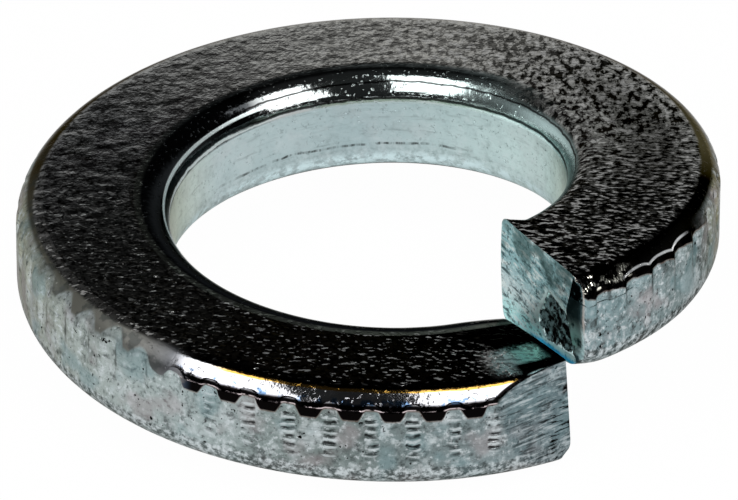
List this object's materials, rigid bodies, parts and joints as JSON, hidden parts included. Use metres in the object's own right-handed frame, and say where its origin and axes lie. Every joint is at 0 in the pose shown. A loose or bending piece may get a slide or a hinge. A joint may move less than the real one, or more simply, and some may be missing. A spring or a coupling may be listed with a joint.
{
  "type": "spring lock washer",
  "caption": "Split spring lock washer coiled left-handed from round-edged rectangular wire, with raised end, square-cut ends and roller-marked outer wall.",
  "frame": {"origin": "on the bore's axis, at the level of the washer's lowest point, the underside of its low end", "axes": "+Z along the bore's axis, towards the raised end's top; +X to the right and +Y away from the viewer of the picture, with the split at azimuth -53 degrees"},
  "size_m": [0.018, 0.018, 0.0053],
  "materials": {
    "zinc_plate": "spring steel with bright zinc plating and a clear blue passivation"
  },
  "bodies": {
    "root": {"lock_washer": "zinc_plate"}
  },
  "joints": []
}
